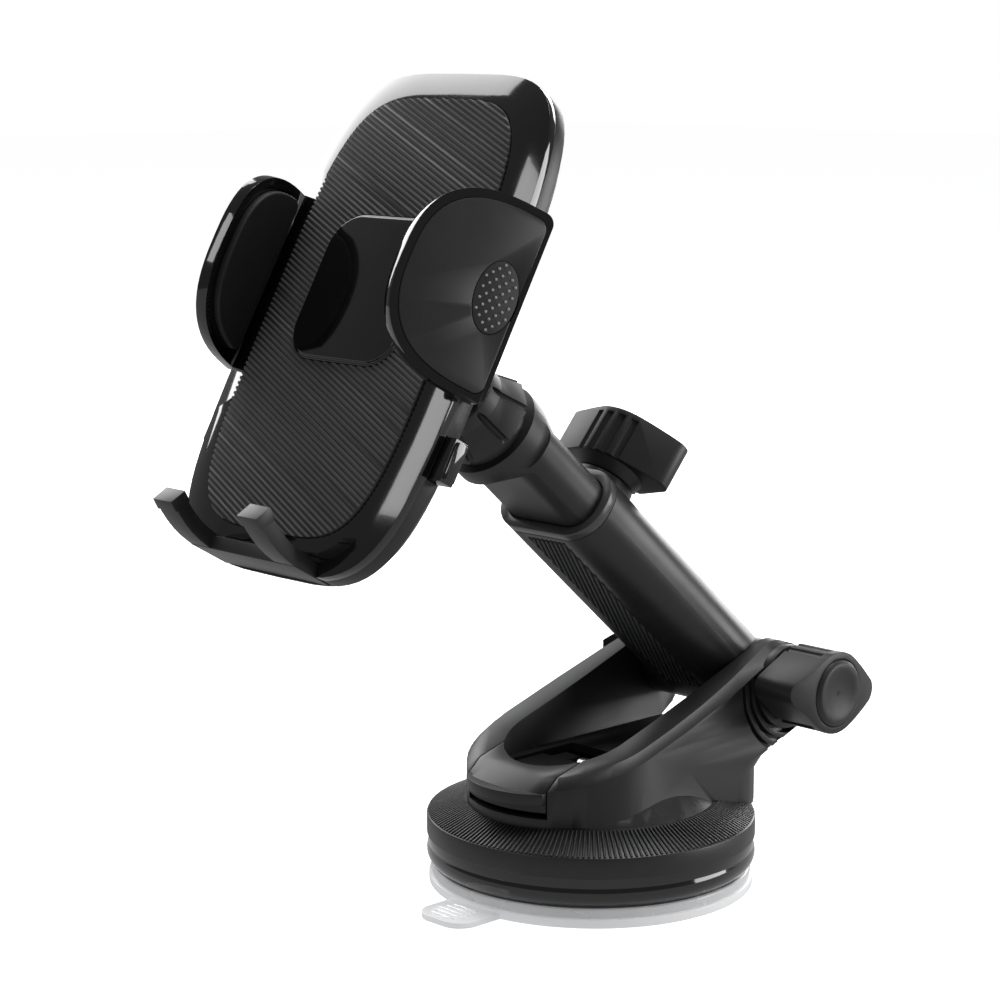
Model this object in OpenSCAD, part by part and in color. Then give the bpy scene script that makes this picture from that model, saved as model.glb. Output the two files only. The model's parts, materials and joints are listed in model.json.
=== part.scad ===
// Suction car phone mount: base, pivoting telescopic arm, ball head and phone cradle that springs open.
// +Z is up, the phone faces -Y, the knob of the arm pivot is on +X.
// The origin is the middle of the gel pad's sticky face. All sizes are in millimetres.

/* [Suction base] */
// Outer diameter of the base rings
base_d = 75; // [70:1:92]
// Thickness of the sticky gel pad
gel_t = 2.0; // [1.2:0.1:3]
// Thickness of the soft suction cup
cup_t = 2.3; // [1.5:0.1:3]
// Height of the gloss pressure ring
press_h = 6.9; // [5:0.1:9]
// Height of the straight side of the ribbed ring
ring_side_h = 4.6; // [3:0.1:7]
// Height of the sloping top of the ribbed ring
ring_top_h = 3.7; // [2:0.1:5]
// How far the release tab stands out of the pad
tab_l = 11.5; // [6:0.5:16]
// Width of the release tab
tab_w = 15; // [10:1:20]

/* [Base shell] */
// Width of the shell
shell_w = 48; // [44:1:58]
// Distance from the middle of the base to the shell's front
shell_front = 30; // [26:1:36]
// Distance from the middle of the base to the shell's back
shell_back = 38; // [36:1:46]
// Wall of the moulded shell
shell_wall = 2; // [1.6:0.1:3]
// Width of the lever's front
lever_w = 24; // [18:1:28]
// Diameter of the suction stud
stud_d = 10; // [8:0.5:12]

/* [Arm pivot] */
// Distance of the pivot behind the middle of the base
pivot_y = 41.8; // [36:0.1:50]
// Height of the pivot
pivot_z = 42.55; // [40:0.1:56]
// Diameter of the pivot bolt
bolt_d = 5; // [4:0.5:6]
// Radius of the round ears
ear_r = 9.2; // [8:0.1:11]
// Wall of one ear
ear_t = 6.9; // [5:0.1:8.4]
// How far the knob's round seat stands out of an ear
boss_l = 1.25; // [1:0.05:3]

/* [Arm] */
// Angle of the arm from upright
arm_tilt = 48.9; // [35:0.1:60]
// Width of the outer arm
arm_w = 30.4; // [26:0.1:32]
// Thickness of the outer arm
arm_h = 17.4; // [16:0.1:19]
// Wall of the outer arm
arm_wall = 2.2; // [1.6:0.1:2.6]
// Distance from the pivot to the end of the outer arm
arm_l = 71.5; // [66:0.5:86]
// Width of the textured strip
strip_w = 11.4; // [8:0.1:13]
// Distance from the pivot to the flange of the inner arm
neck_t = 93.5; // [88:0.5:110]
// How far the inner arm pushes in
slide_in = 8; // [4:1:10]
// Distance from the pivot to the lock knob
lock_t = 61; // [50:0.5:61.5]

/* [Knobs] */
// Length of a knob across its wings
knob_l = 30; // [25:0.5:36]
// Diameter of a knob's round middle
knob_d = 19; // [16:0.5:22]
// Height of a knob's fluted body
knob_h = 10.6; // [8:0.1:14]
// Diameter of a knob's round cap
cap_d = 15.6; // [12:0.1:16.5]

/* [Ball head] */
// Diameter of the ball
ball_d = 13; // [11:0.5:14]
// Diameter of the arm's flange and of the ring nut
nut_d = 22.8; // [22:0.2:28]
// Length of the ring nut
nut_l = 9.4; // [8:0.1:11]
// Lean of the phone plate from upright
plate_tilt = 30.1; // [15:0.1:45]
// Distance from the ball's centre to the face of the grip pad
ball_depth = 37.5; // [34:0.5:46]
// Height of the plate's centre above the ball
ball_rise = 3.8; // [0:0.1:8]

/* [Cradle] */
// Width of the plate at its middle
plate_w = 68.4; // [62:0.5:80]
// Length of the plate
plate_l = 112; // [104:1:136]
// Distance from the pad's face to the back of the plate
plate_depth = 10.4; // [9.6:0.1:14]
// Width of the sloping bezel round the pad
bezel_w = 7; // [5:0.5:9]
// Thickness of the grip pad
pad_t = 1.6; // [1:0.1:2]
// Side of the square badge plate
badge_w = 33; // [24:1:36]
// Height of the clamps' centre above the plate's centre
clamp_z = 7.5; // [4:0.5:10]
// Height of a clamp
clamp_h = 41; // [34:0.5:48]
// How far a clamp reaches in front of the pad's face
clamp_reach = 18.2; // [14:0.2:24]
// Teeth on the pinion
pinion_teeth = 12; // [11:1:13]
// Distance from the middle to each foot prong
prong_x = 13.3; // [11:0.1:18]

/* [Hidden] */

$fn = 64;
run_gap = 0.05;      // radial clearance of a shaft in its hole
slide_gap = 0.3;     // gap between pieces that move past each other
far = 60;            // longer than any cut needs
base_r = base_d / 2;

// base, from the bottom up
pad_r = base_r - 0.5;
cup_r = base_r - 1;
press_z = gel_t + cup_t;
ring_z = press_z + press_h;
slope_z = ring_z + ring_side_h;
seat_z = slope_z + ring_top_h;
press_in_r = base_r - 6;
ring_in_r = base_r - 11.5;
seat_r = base_r - 9;
press_round = 3.4;
plate_r = press_in_r - 0.2;
floor_t = 2.2;
floor_z = ring_z - floor_t;
stud_r = stud_d / 2;
guide_r = stud_r + 3.5;
lever_pin_z = seat_z + 4.5;
guide_top = lever_pin_z - 5;
flange_t = 1.8;
flange_z = floor_z - slide_gap - flange_t;
screw_ring_r = 21;
screw_angles = [90, 210, 330];
screw_post_r = 3.6;
pin_r = 1.5;
eye_t = 6;
eye_r = 3.4;
cheek_t = 4.6;
cam_r = 4.2;
cam_y = -1.78;
cam_drop = 0.5;
lever_back = 4.4;
slot_back = 6.5;

// shell
shell_r = shell_w / 2;
front_cy = shell_r - shell_front;
corner_r = 14;
ear_corner_r = 4;
deck_z = seat_z + 8.5;
ear_in = arm_w / 2 + 0.35;
ear_out = ear_in + ear_t;
seat_x = ear_out + boss_l;
ear_top = pivot_z + ear_r;
flare_z = [24, 35];
rim_angle = 21.4;
rim_y0 = -shell_front - 3;
rim_z0 = seat_z + 8.3;
rim_y2 = pivot_y - ear_r * sin(rim_angle);
rim_z2 = pivot_z + ear_r * cos(rim_angle);
rim_len = rim_y2 - rim_y0;
rim_bow = (rim_z0 - rim_z2 + tan(rim_angle) * rim_len) / (rim_len * rim_len);
bevel_w = 2;
bevel_h = 1.75;
groove_rs = [10.6, 12.9, 15.2];
groove_w = 1.1;
lip_t = 2.6;
lip_out = 2.4;
lip_r = 17.9;
lip_z = seat_z + 5.2;
lever_z = seat_z + 3.4;

// arm frame: x across, y away from the phone, z along the arm
tube_in_w = arm_w - 2 * arm_wall;
tube_in_h = arm_h - 2 * arm_wall;
in_w = tube_in_w - 0.4;
in_h = tube_in_h - 0.4;
in_wall = 1.8;
arm_r = 8;
tube_r = arm_r - arm_wall;
in_r = tube_r - 0.2;
barrel_r = arm_h / 2;
washer_r = 6.5;
tube_z = barrel_r + 2.6;
in_z = tube_z + slide_in + 2;
plug_t = 3;
collar_l = 2.4;
strip_t = 0.8;
strip_z = 6;
lock_boss_r = 7.2;
lock_boss_h = 2.8;
insert_r = 4.2;
lock_screw_r = 2.5;
lock_knob_y = arm_h / 2 + lock_boss_h + 0.5;
lock_turn = 15;
base_turn = 82;
lock_hub = 2.6;
base_hub = 0.4;
base_front = 1.8;
lock_front = 0.7;
shoe_r = 4.2;
shoe_t = 1.5;
shoe_y = in_h / 2 + 0.05;
ball_r = ball_d / 2;
ball_t = neck_t + 13.5;
socket_r = ball_r + 0.95;
socket_end = ball_t + 2.4;
neck_cone = 3;
groove_t = 3;
nut_z = neck_t + 4.5 + groove_t;
neck_r = 3.2;
ball_y_w = pivot_y - ball_t * sin(arm_tilt);
ball_z_w = pivot_z + ball_t * cos(arm_tilt);

// cradle frame: x across, y from the pad's face backwards, z up the plate
plate_n = 4.3;       // exponent of the plate's squarish oval outline
edge_y = 2.35;
bezel_y = 0.3;
frame_y = 4.2;
slider_y = 4.4;
slider_t = 2.2;
slider_back = slider_y + slider_t;
back_wall = 1.8;
cavity_y = plate_depth - back_wall;
badge_cz = 4.8;
pitch_r = pinion_teeth / 2;
tooth_pitch = PI;
base_cr = pitch_r * cos(20);
backlash = 2;        // degrees taken off each tooth of the pinion
rack_root = pitch_r + 1.25;
bar_h = 5;
bar_top = rack_root + bar_h;
clamp_lean = 21;
clamp_t = 2.8;
clamp_x = plate_w / 2 + 2.4 - clamp_t / cos(clamp_lean);
clamp_b = clamp_h / 2;
clamp_a = (clamp_reach + 4) / cos(clamp_lean);
clamp_u = 4.3;
pad_back = 0.6;
clamp_back = 7.5;
root_x = plate_w / 2 + 0.4;
wing_z = clamp_z - 1.7;
grip_u = 1.6;
grip_z = 6.1;
grip_size = [4.6, 7.4];
grip_tilt = 4;
root_half = 14;
boss_r = 9;
boss_z = -ball_rise;
boss_y = plate_depth + 8;
stem_l = 6;
ball_screw_r = 1.5;
button_z = -26.5;
button_h = 9;
button_y = [4.7, 8.3];
button_out = 3.4;
button_in = plate_w / 2 - 4.4;
pawl_y = [slider_y, slider_back];
foot_w = 18;
foot_base = [prong_x + 3, 2.8];
foot_z = -plate_l / 2 + 0.5;
prong_w = 6;
prong_t = 3.2;
prong_r = 26;
prong_cy = -1.5;
prong_angle = 31;
tip_l = 2;
post_xz = [24, 44];
cover_screw_r = 1.1;

// places children in the frame of the arm
module at_arm() translate([0, pivot_y, pivot_z]) rotate([arm_tilt, 0, 0]) children();

// places children in the frame of the cradle
module at_cradle()
    translate([0, ball_y_w, ball_z_w])
        rotate([-plate_tilt, 0, 0])
            translate([0, -ball_depth, ball_rise]) children();

module mirror_copy() {
    children();
    mirror([1, 0, 0]) children();
}

// rounded rectangle, exact arcs, about the origin
module round_rect(w, h, r) {
    square([w - 2 * r, h], center = true);
    square([w, h - 2 * r], center = true);
    for (sx = [-1, 1], sy = [-1, 1])
        translate([sx * (w / 2 - r), sy * (h / 2 - r)]) circle(r = r);
}

// squarish oval with half axes a and b
function oval(a, b, n, steps = 72) = [for (i = [0:steps - 1]) let (t = i * 360 / steps)
    [a * sign(cos(t)) * pow(abs(cos(t)), 2 / n), b * sign(sin(t)) * pow(abs(sin(t)), 2 / n)]];

// cylinder along x from x0 to x1
module rod_x(r, x0, x1) translate([x0, 0, 0]) rotate([0, 90, 0]) cylinder(r = r, h = x1 - x0);

// cylinder along y from y0 to y1
module rod_y(r, y0, y1) translate([0, y0, 0]) rotate([-90, 0, 0]) cylinder(r = r, h = y1 - y0);

// box from a low corner to a high corner
module span(a, b) translate(a) cube([b[0] - a[0], b[1] - a[1], b[2] - a[2]]);

// ---------------------------------------------------------------- base

module gel_pad() color([0.86, 0.88, 0.9, 0.6]) {
    cylinder(r = pad_r, h = gel_t, $fn = 128);
    difference() {
        translate([0, -pad_r - tab_l / 2 + 3, 0])
            linear_extrude(gel_t * 0.7) round_rect(tab_w, tab_l + 6, 5);
        translate([0, 0, -1]) cylinder(r = pad_r - 0.5, h = gel_t + 2);
    }
}

module suction_cup() color([0.8, 0.82, 0.84, 0.7])
    translate([0, 0, gel_t]) cylinder(r = cup_r, h = cup_t, $fn = 128);

module pressure_ring() color([0.03, 0.03, 0.03]) rotate_extrude($fn = 128) {
    translate([press_in_r, press_z]) square([base_r - 1.6 - press_in_r, press_h]);
    intersection() {
        translate([base_r - press_round, press_z + press_round - 0.2]) circle(r = press_round);
        translate([press_in_r, press_z]) square([10, press_h]);
    }
    translate([press_in_r, ring_z - 2.2]) square([base_r - 0.3 - press_in_r, 2.2]);
}

module ribbed_ring() color([0.07, 0.07, 0.07])
    rotate_extrude($fn = 128) polygon([
        [ring_in_r, ring_z], [base_r, ring_z], [base_r, slope_z],
        [seat_r, seat_z], [ring_in_r, seat_z]]);

module at_base_screws() for (a = screw_angles) rotate([0, 0, a])
    translate([screw_ring_r, 0, 0]) children();

module base_plate() color([0.15, 0.15, 0.16]) difference() {
    union() {
        translate([0, 0, floor_z]) cylinder(r = plate_r, h = floor_t);
        translate([0, 0, floor_z]) cylinder(r = guide_r, h = guide_top - floor_z);
    }
    translate([0, 0, floor_z - 1]) cylinder(r = stud_r + run_gap, h = far);
    at_base_screws() cylinder(r = 1.6, h = far);
}

module base_screws() color("silver") at_base_screws() difference() {
    union() {
        translate([0, 0, floor_z - 1.6]) cylinder(r = 2.8, h = 1.6);
        translate([0, 0, floor_z]) cylinder(r = 1.5, h = 11);
    }
    translate([0, 0, floor_z - 2.6]) cylinder(r = 1.3, h = 2, $fn = 6);
}

// height of the rim line at a distance y behind the middle of the base
function rim_z(y) = y < rim_y2
    ? rim_z2 - tan(rim_angle) * (rim_y2 - y) + rim_bow * pow(rim_y2 - y, 2)
    : pivot_z + sqrt(max(0, ear_r * ear_r - pow(y - pivot_y, 2)));

// how far the shell has changed from its round-cornered foot (0) to the ears (1) at height z
function flare(z) = let (t = min(1, max(0, (z - flare_z[0]) / (flare_z[1] - flare_z[0])))) t * t * (3 - 2 * t);

// half width at the ears, at height z
function ear_half(z) = shell_r - (shell_r - ear_out) * pow(max(0, z - 30) / (pivot_z - 30), 1.5);

// one outline of the shell at height z: round front, straight sides, round back corners
function shell_ring(z) = let (
    back = shell_back + flare(z) * (pivot_y + ear_r + 1 - shell_back),
    cr = corner_r - flare(z) * (corner_r - ear_corner_r),
    hw = ear_half(z)) concat(
    [for (a = [180:7.5:360]) [shell_r * cos(a), front_cy + shell_r * sin(a), z]],
    [[shell_r, 6, z]],
    [for (a = [0:15:90]) [hw - cr + cr * cos(a), back - cr + cr * sin(a), z]],
    [for (a = [90:15:180]) [cr - hw + cr * cos(a), back - cr + cr * sin(a), z]],
    [[-shell_r, 6, z]]);

// solid through a stack of outlines that all have the same number of points
module loft(rings) {
    n = len(rings[0]);
    m = len(rings);
    polyhedron(
        points = [for (ring = rings) each ring],
        faces = concat(
            [[for (i = [0:n - 1]) i]],
            [[for (i = [n - 1:-1:0]) (m - 1) * n + i]],
            [for (k = [0:m - 2], i = [0:n - 1]) let (j = (i + 1) % n)
                [k * n + i, (k + 1) * n + i, (k + 1) * n + j, k * n + j]]),
        convexity = 6);
}

// side outline of the shell below the rim line, as a solid across the whole width
module under_rim(drop) rotate([90, 0, 90]) translate([0, 0, -far / 2 - 10])
    linear_extrude(far + 20) polygon(concat([[rim_y0, 0]],
        [for (i = [0:12]) let (y = rim_y0 + i * rim_len / 12) [y, rim_z(y) - drop]],
        [for (a = [105:-9:-30]) [pivot_y + (ear_r - drop) * cos(a), pivot_z + (ear_r - drop) * sin(a)]],
        [[pivot_y + 3 - drop, pivot_z - 12], [pivot_y - 3 - drop, pivot_z - 16],
         [pivot_y - 3 - drop, 0]]));

// wedge that bevels the outside of the rim, swept from one ear round the front to the other
module bevel_cut() {
    side = [for (y = [pivot_y + 4, pivot_y, rim_y2, 24, 12]) [ear_half(rim_z(y)) +
        (shell_r - ear_half(rim_z(y))) * max(0, 1 - (y - 6) / (rim_y2 - 6)), y]];
    front = [for (a = [0:-9:-180]) [shell_r * cos(a), front_cy + shell_r * sin(a), cos(a), sin(a)]];
    path = concat([for (p = side) [p[0], p[1], 1, 0]], [[shell_r, 3, 1, 0]], front,
        [[-shell_r, 3, -1, 0]],
        [for (i = [len(side) - 1:-1:0]) [-side[i][0], side[i][1], -1, 0]]);
    loft([for (p = path) [for (c = [[1, -1.5 * bevel_h], [1, bevel_h], [-2 * bevel_w, bevel_h]])
        [p[0] + c[0] * p[2], p[1] + c[0] * p[3], rim_z(p[1]) + c[1]]]]);
}

module tray_plan(d) {
    r = ear_in + d;
    translate([0, front_cy]) circle(r = r, $fn = 96);
    translate([-r, front_cy]) square([2 * r, 28 - front_cy]);
}

module shell_body() difference() {
    intersection() {
        loft([for (z = [slope_z, flare_z[0], 26.5, 29, 31.5, flare_z[1], pivot_z, ear_top + 1])
            shell_ring(z)]);
        under_rim(0);
    }
    bevel_cut();
}

module lever_zone(gap) span([-lever_w / 2 - gap, -shell_front - 6, lever_z - gap],
    [lever_w / 2 + gap, front_cy - 8 + gap, far]);

// space under the shell's deck
module shell_hollow() {
    intersection() {
        translate([0, 0, slope_z - 1]) linear_extrude(far) difference() {
            square([2 * shell_r - 2 * shell_wall, 2 * far], center = true);
            tray_plan(shell_wall);
        }
        translate([0, front_cy, 0]) union() {
            cylinder(r = shell_r - shell_wall, h = far);
            span([-shell_r, 0, 0], [shell_r, 10 - front_cy, far]);
        }
        under_rim(shell_wall + bevel_h);
    }
    translate([0, 0, slope_z - 1]) linear_extrude(deck_z - shell_wall - slope_z + 1) {
        translate([0, front_cy]) circle(r = shell_r - shell_wall - 0.6);
        translate([0, 12]) round_rect(shell_w - 2 * shell_wall, 2 * (shell_back - 14.5), corner_r - 2);
    }
}

module base_shell() color([0.13, 0.13, 0.14]) difference() {
    union() {
        difference() {
            union() {
                shell_body();
                translate([0, 0, seat_z - 1])
                    cylinder(r1 = seat_r + 0.7, r2 = shell_r - 1, h = 6);
            }
            // the tray, the space under the deck and the seat on the ribbed ring
            translate([0, 0, deck_z]) linear_extrude(far) tray_plan(0);
            shell_hollow();
            translate([0, 0, slope_z - 1]) cylinder(
                r1 = base_r + (base_r - seat_r) / ring_top_h, r2 = seat_r, h = ring_top_h + 1);
        }
        translate([0, pivot_y, pivot_z]) mirror_copy() rod_x(ear_r - 0.4, ear_out - 1, seat_x);
        at_base_screws() translate([0, 0, ring_z]) cylinder(r = screw_post_r, h = deck_z - 1 - ring_z);
    }
    // room for the arm's barrel between the ears
    span([-ear_in, 15, deck_z], [ear_in, pivot_y + 20, 90]);
    // slot for the lever's tongue and cheeks, and the lever's own place in the rim
    span([-lever_w / 2 - slide_gap, -shell_front, seat_z + 2],
        [lever_w / 2 + slide_gap, slot_back, deck_z + 1]);
    lever_zone(slide_gap);
    at_base_screws() cylinder(r = 1.5 + run_gap, h = floor_z + 12);
    // pivot bore, pockets for the bolt's head and the washers, grooves round the seats
    translate([0, pivot_y, pivot_z]) {
        rod_x(bolt_d / 2 + run_gap, -far, far);
        rod_x(bolt_d + 0.1, -seat_x - 1, -seat_x + 4.6);
        for (s = [-1, 1]) rod_x(washer_r + run_gap, s * ear_in - 0.6, s * ear_in + 0.6);
    }
    intersection() {
        translate([0, pivot_y, pivot_z]) mirror_copy() for (r = groove_rs) difference() {
            rod_x(r + groove_w, ear_out - 0.9, ear_out + 5);
            rod_x(r, 0, far);
        }
        under_rim(bevel_h + 0.6);
    }
}

module pivot_bolt() color("silver") translate([0, pivot_y, pivot_z]) {
    rod_x(bolt_d / 2, -seat_x + 1, seat_x + 10);
    translate([-seat_x + 1.1, 0, 0]) rotate([0, 90, 0])
        cylinder(r = bolt_d - 0.2, h = 3.5, $fn = 6);
}

module pivot_cap() color([0.05, 0.05, 0.05]) translate([0, pivot_y, pivot_z])
    difference() {
        union() {
            rod_x(bolt_d, -seat_x - 0.2, -seat_x + 0.9);
            rod_x(ear_r - 1.2, -seat_x - 1.4, -seat_x);
        }
        rod_x(3, -seat_x - 2, -seat_x - 0.9);
    }

module friction_washers() color([0.35, 0.35, 0.36]) translate([0, pivot_y, pivot_z])
    mirror_copy() difference() {
        rod_x(washer_r, ear_in - 0.25, ear_in + 0.55);
        rod_x(bolt_d / 2 + run_gap, 0, far);
    }

module suction_stud() color([0.6, 0.6, 0.62]) difference() {
    union() {
        translate([0, 0, flange_z]) cylinder(r = guide_r, h = flange_t);
        translate([0, 0, flange_z]) cylinder(r = stud_r, h = guide_top - flange_z);
        translate([0, 0, lever_pin_z]) rod_x(eye_r, -eye_t / 2, eye_t / 2);
        span([-eye_t / 2, 0.4 - eye_r, guide_top - 1], [eye_t / 2, eye_r - 0.4, lever_pin_z]);
    }
    translate([0, 0, lever_pin_z]) rod_x(pin_r + run_gap, -20, 20);
}

module suction_lever() color([0.12, 0.12, 0.13]) difference() {
    union() {
        // front of the rim, cut out of the shell's own shape
        intersection() {
            difference() {
                shell_body();
                translate([0, 0, deck_z]) linear_extrude(far) tray_plan(0);
            }
            lever_zone(0);
        }
        // finger lip
        intersection() {
            translate([0, lip_r - shell_front - lip_out, lip_z]) cylinder(r = lip_r, h = lip_t);
            span([-lever_w / 2, -far, 0], [lever_w / 2, -shell_front + 8, far]);
        }
        // tongue that runs back to the stud, and its two cam cheeks
        span([-lever_w / 2 + 1, -shell_front + 4, deck_z - 2.6],
            [lever_w / 2 - 1, -lever_back, deck_z - 0.2]);
        mirror_copy() {
            span([eye_t / 2 + 0.4, -12, lever_pin_z - 1.6],
                [eye_t / 2 + 0.4 + cheek_t, 0, deck_z - 0.2]);
            translate([0, cam_y, lever_pin_z - cam_drop])
                rod_x(cam_r, eye_t / 2 + 0.4, eye_t / 2 + 0.4 + cheek_t);
        }
    }
    translate([0, 0, lever_pin_z]) rod_x(pin_r, -20, 20);
}

module lever_pin() color("silver") translate([0, 0, lever_pin_z])
    rod_x(pin_r, -eye_t / 2 - 0.4 - cheek_t, eye_t / 2 + 0.4 + cheek_t);

// ---------------------------------------------------------------- knobs, standing on z = 0

// knob outline: a round middle with two tapering wings along x
module knob_plan() {
    tip_r = 3.1;
    hull() {
        circle(r = knob_d / 2, $fn = 36);
        for (s = [-1, 1]) translate([s * (knob_l / 2 - tip_r), 0]) circle(r = tip_r, $fn = 20);
    }
}

// winged body on a round hub, with flutes on its flats and a front that slopes to the cap
module knob_body(bore_r, hub, front) difference() {
    union() {
        cylinder(r1 = cap_d / 2 - 1, r2 = cap_d / 2 + 0.6, h = hub + 0.5);
        translate([0, 0, hub]) linear_extrude(knob_h + front) knob_plan();
    }
    translate([0, 0, hub + knob_h]) rotate_extrude() polygon([[knob_l / 2 + 0.3, 0], [far, 0],
        [far, front + 1], [cap_d / 2 + 0.8, front + 1], [cap_d / 2 + 0.8, front]]);
    for (s = [0, 180], k = [-1.5:1.5]) rotate([0, 0, 90 + s + k * 19])
        translate([knob_d / 2 + 0.3, 0, hub - 1]) cylinder(r = 1, h = knob_h + 0.4);
    translate([0, 0, -1]) cylinder(r = bore_r, h = far);
    translate([0, 0, hub + knob_h - 1]) cylinder(r = cap_d / 2 + 0.1, h = front + 2);
}

module knob_cap_body(hub, front) {
    top = hub + knob_h + front;
    difference() {
        union() {
            translate([0, 0, hub + knob_h - 1]) cylinder(r = cap_d / 2, h = front + 1);
            translate([0, 0, top]) cylinder(r1 = cap_d / 2, r2 = cap_d / 2 - 0.9, h = 0.9);
        }
        translate([0, 0, top + 0.9 + 17.7]) sphere(r = 18.6);
    }
}

module on_base_seat() translate([seat_x + 1.2, pivot_y, pivot_z]) rotate([0, 90, 0])
    rotate([0, 0, base_turn]) children();

module pivot_washer() color("silver") translate([0, pivot_y, pivot_z]) difference() {
    rod_x(washer_r, seat_x, seat_x + 0.9);
    rod_x(bolt_d / 2 + run_gap, 0, far);
}

module base_knob() color([0.12, 0.12, 0.13]) on_base_seat() knob_body(insert_r, base_hub, base_front);

module base_knob_insert() color("gold") on_base_seat() difference() {
    cylinder(r = insert_r, h = base_hub + knob_h - 1);
    translate([0, 0, -1]) cylinder(r = bolt_d / 2 + run_gap, h = 20);
}

module base_knob_cap() color([0.14, 0.14, 0.15]) on_base_seat() knob_cap_body(base_hub, base_front);

// ---------------------------------------------------------------- arm

module outer_arm() color([0.12, 0.12, 0.13]) at_arm() difference() {
    union() {
        linear_extrude(arm_l - collar_l) round_rect(arm_w, arm_h, arm_r);
        rod_x(barrel_r, -arm_w / 2, arm_w / 2);
        translate([0, 0, lock_t]) rod_y(lock_boss_r, 0, arm_h / 2 + lock_boss_h);
    }
    translate([0, 0, tube_z]) linear_extrude(arm_l) round_rect(tube_in_w, tube_in_h, tube_r);
    // strip recess, barrel bore, bore for the lock insert and its shoe
    span([-strip_w / 2, -arm_h / 2 - 1, strip_z],
        [strip_w / 2, -arm_h / 2 + strip_t, arm_l - collar_l - 1.5]);
    rod_x(bolt_d / 2 + run_gap, -20, 20);
    translate([0, 0, lock_t]) rod_y(insert_r, 0, arm_h);
}

module texture_strip() color([0.02, 0.02, 0.02]) at_arm()
    span([-strip_w / 2, -arm_h / 2 + 0.2, strip_z],
        [strip_w / 2, -arm_h / 2 + strip_t, arm_l - collar_l - 1.5]);

module arm_collar() color([0.3, 0.3, 0.31]) at_arm() translate([0, 0, arm_l - collar_l])
    difference() {
        linear_extrude(collar_l) round_rect(arm_w, arm_h, arm_r);
        translate([0, 0, -1]) linear_extrude(collar_l + 2)
            round_rect(tube_in_w, tube_in_h, tube_r);
    }

module lock_insert() color("gold") at_arm() translate([0, 0, lock_t]) difference() {
    rod_y(insert_r, arm_h / 2 - 0.1, arm_h / 2 + lock_boss_h);
    rod_y(lock_screw_r + run_gap, 0, 30);
}

module lock_shoe() color([0.2, 0.2, 0.2]) at_arm() translate([0, 0, lock_t])
    rod_y(shoe_r - 0.05, shoe_y, shoe_y + shoe_t);

module on_lock_seat() at_arm() translate([0, lock_knob_y, lock_t]) rotate([-90, 0, 0])
    rotate([0, 0, lock_turn]) children();

module lock_knob() color([0.12, 0.12, 0.13]) on_lock_seat() knob_body(3, lock_hub, lock_front);

module lock_screw() color("silver") at_arm() translate([0, 0, lock_t]) {
    rod_y(lock_screw_r, shoe_y + shoe_t, lock_knob_y + lock_hub + 6);
    rod_y(3, lock_knob_y, lock_knob_y + lock_hub + 5);
}

module lock_knob_cap() color([0.14, 0.14, 0.15]) on_lock_seat() knob_cap_body(lock_hub, lock_front);

module inner_arm() color([0.12, 0.12, 0.13]) at_arm() difference() {
    union() {
        translate([0, 0, in_z + plug_t]) linear_extrude(neck_t - in_z - plug_t - 1)
            round_rect(in_w, in_h, in_r);
        hull() {
            translate([0, 0, neck_t - neck_cone]) linear_extrude(0.5)
                round_rect(in_w, in_h, in_r, $fn = 32);
            translate([0, 0, neck_t]) cylinder(r = nut_d / 2, h = 0.5, $fn = 48);
        }
        translate([0, 0, neck_t]) cylinder(r = nut_d / 2, h = nut_z - groove_t - neck_t);
        translate([0, 0, neck_t]) cylinder(r = nut_d / 2 - 2, h = nut_z - slide_gap - neck_t);
        translate([0, 0, neck_t]) cylinder(r = socket_r, h = socket_end - neck_t);
    }
    translate([0, 0, in_z + plug_t - 1]) linear_extrude(neck_t - in_z - plug_t - 8)
        round_rect(in_w - 2 * in_wall, in_h - 2 * in_wall, in_r - in_wall);
    // socket for the ball, pocket for its seat, slots that let the socket flex
    translate([0, 0, ball_t]) sphere(r = ball_r + run_gap);
    translate([0, 0, ball_t - ball_r - 1.5]) cylinder(r = 4.2, h = ball_r);
    for (a = [0, 90]) rotate([0, 0, a])
        span([-0.6, -20, ball_t - 3], [0.6, 20, ball_t + 10]);
}

module arm_end_plug() color([0.3, 0.3, 0.3]) at_arm() difference() {
    union() {
        translate([0, 0, in_z]) linear_extrude(plug_t) round_rect(in_w, in_h, in_r);
        translate([0, 0, in_z + plug_t]) linear_extrude(5)
            round_rect(in_w - 2 * in_wall, in_h - 2 * in_wall, in_r - in_wall);
    }
    translate([0, 0, in_z - 1]) linear_extrude(20) round_rect(8, 4, 1.5);
}

module ring_nut() color([0.12, 0.12, 0.13]) at_arm() difference() {
    union() {
        translate([0, 0, nut_z]) rotate([0, 0, 22.5])
            cylinder(r1 = nut_d / 2 + 0.5, r2 = nut_d / 2 - 2.5, h = nut_l - 2.6, $fn = 8);
        translate([0, 0, nut_z + nut_l - 3])
            cylinder(r1 = socket_r + 1.6, r2 = socket_r + 1.1, h = 3);
    }
    translate([0, 0, nut_z - 1]) cylinder(r = socket_r + run_gap, h = far);
    for (k = [0:7]) rotate([0, 0, k * 45 + 22.5])
        translate([nut_d / 2 + 0.6, 0, nut_z - 1]) rotate([0, -23, 0]) cylinder(r = 0.8, h = 20);
}

module ball_seat() color([0.1, 0.1, 0.1]) at_arm() difference() {
    translate([0, 0, ball_t - ball_r - 1.4]) cylinder(r = 4.15, h = 3.2);
    translate([0, 0, ball_t]) sphere(r = ball_r + 0.1);
}

module ball_stem() color([0.25, 0.25, 0.26]) at_cradle() translate([0, 0, boss_z]) difference() {
    union() {
        translate([0, ball_depth, 0]) sphere(r = ball_r);
        rod_y(neck_r, boss_y - 1, ball_depth);
        rod_y(6, boss_y + 0.3, boss_y + 2);
        rod_y(4, boss_y - stem_l, boss_y + 1);
    }
    rod_y(ball_screw_r + run_gap, boss_y - stem_l - 1, boss_y + 5);
}

// ---------------------------------------------------------------- cradle

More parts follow.
